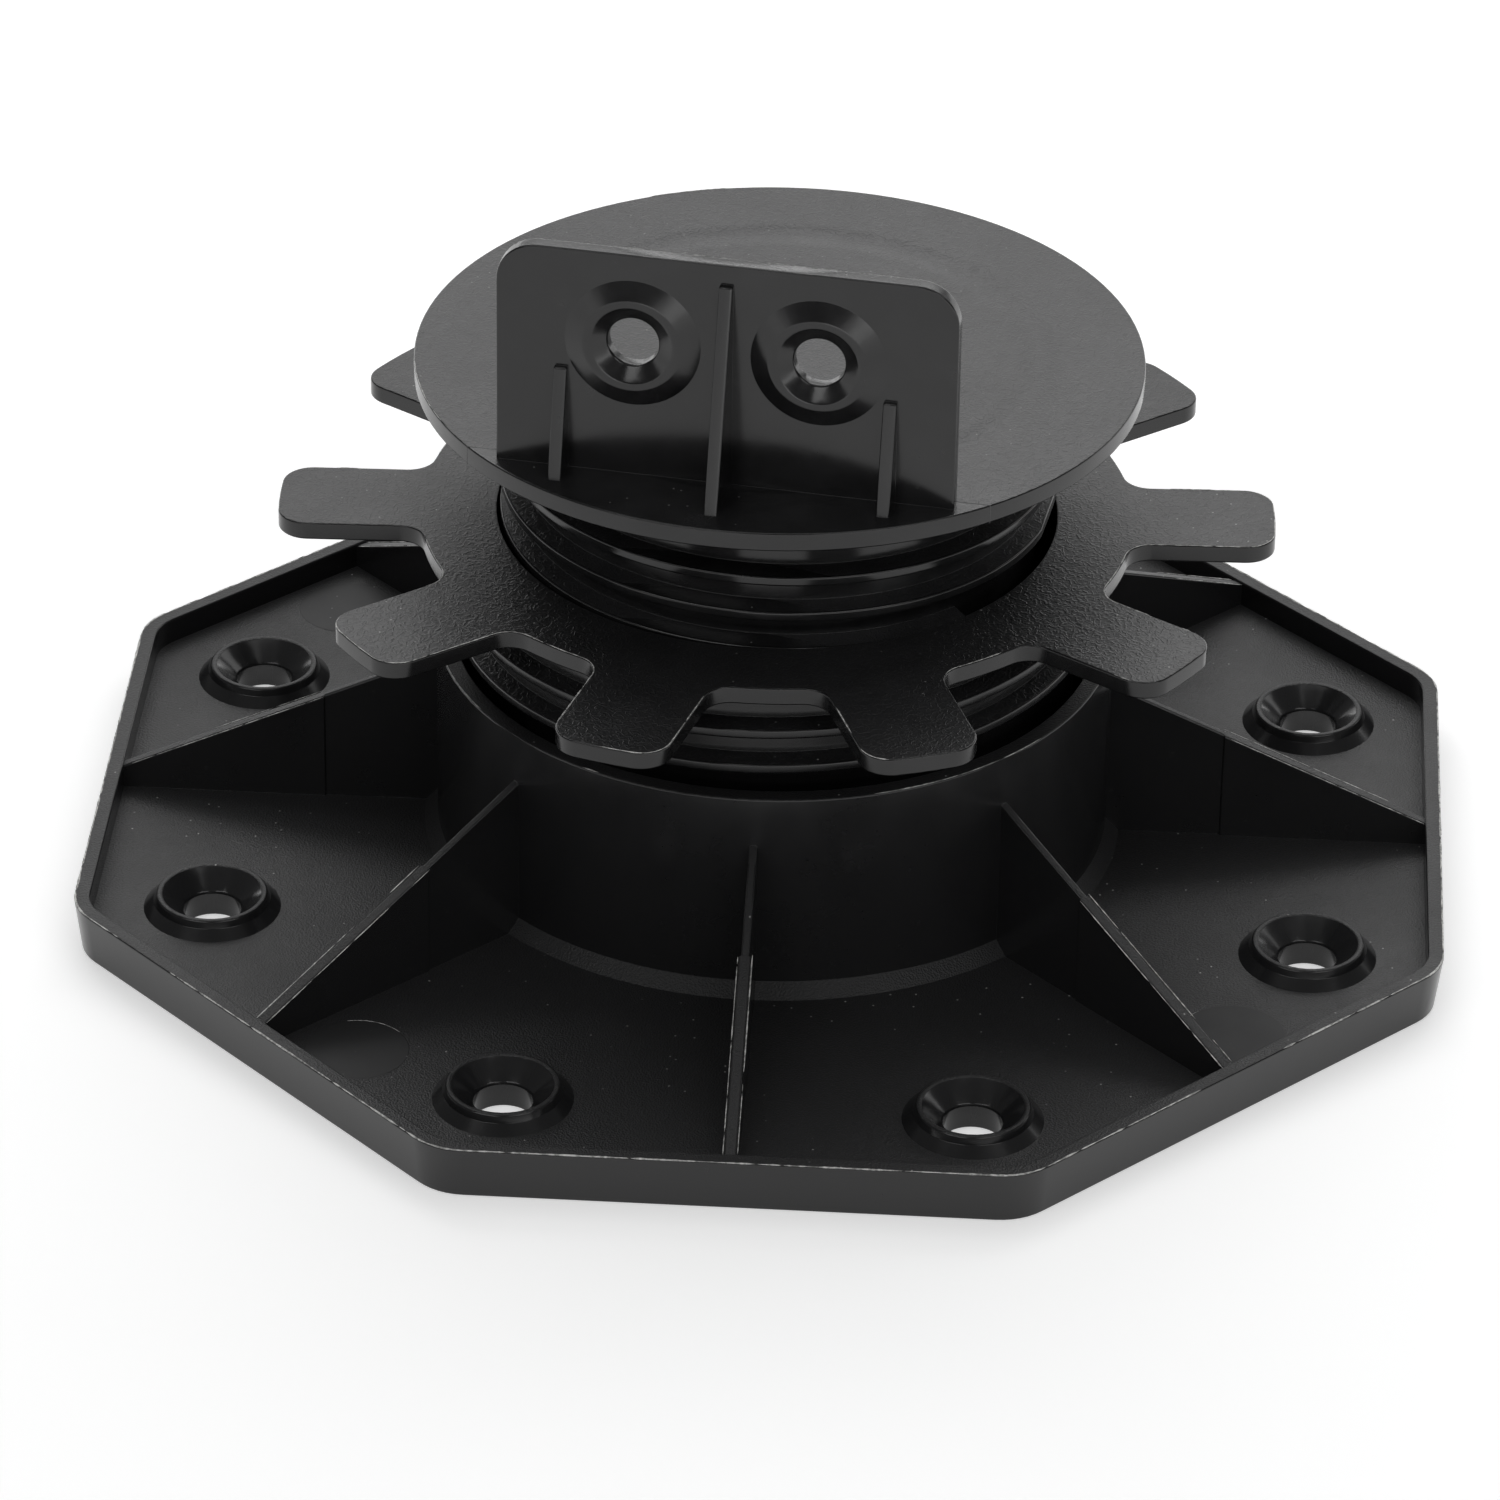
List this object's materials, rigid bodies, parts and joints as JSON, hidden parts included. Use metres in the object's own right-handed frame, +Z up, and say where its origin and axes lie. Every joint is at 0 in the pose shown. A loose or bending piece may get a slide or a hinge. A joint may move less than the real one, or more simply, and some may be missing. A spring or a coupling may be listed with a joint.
{
  "type": "decking pedestal",
  "caption": "Height-adjustable pedestal with an octagonal ribbed base, a finger-tabbed screw ring and a round head with an upright fixing plate.",
  "frame": {"origin": "middle of the underside, on the screw axis", "axes": "+Z up along the screw axis; the upright fixing plate stands across Y and its front, with the screw bosses, faces -Y"},
  "size_m": [0.2088, 0.2088, 0.1167],
  "materials": {
    "base_plastic": "black moulded plastic with a fine grain",
    "ring_plastic": "black moulded plastic with a fine leathery grain",
    "head_plastic": "black moulded plastic with a fine leathery grain"
  },
  "bodies": {
    "base": {"base": "base_plastic"},
    "ring": {"adjusting_ring": "ring_plastic"},
    "head": {"head": "head_plastic"}
  },
  "joints": [
    {"name": "ring_turn", "type": "hinge", "parent": "base", "child": "ring", "pos_m": [0, 0, 0.045], "axis": [0, 0, 1], "range_deg": [-1026, 93]},
    {"name": "head_lift", "type": "slide", "parent": "base", "child": "head", "axis": [0, 0, 1], "range_m": [-0.0164, 0.0015]}
  ],
  "couplings": [
    {"joint": "head_lift", "follows": "ring_turn", "m_per_rad": 0.00091514}
  ]
}
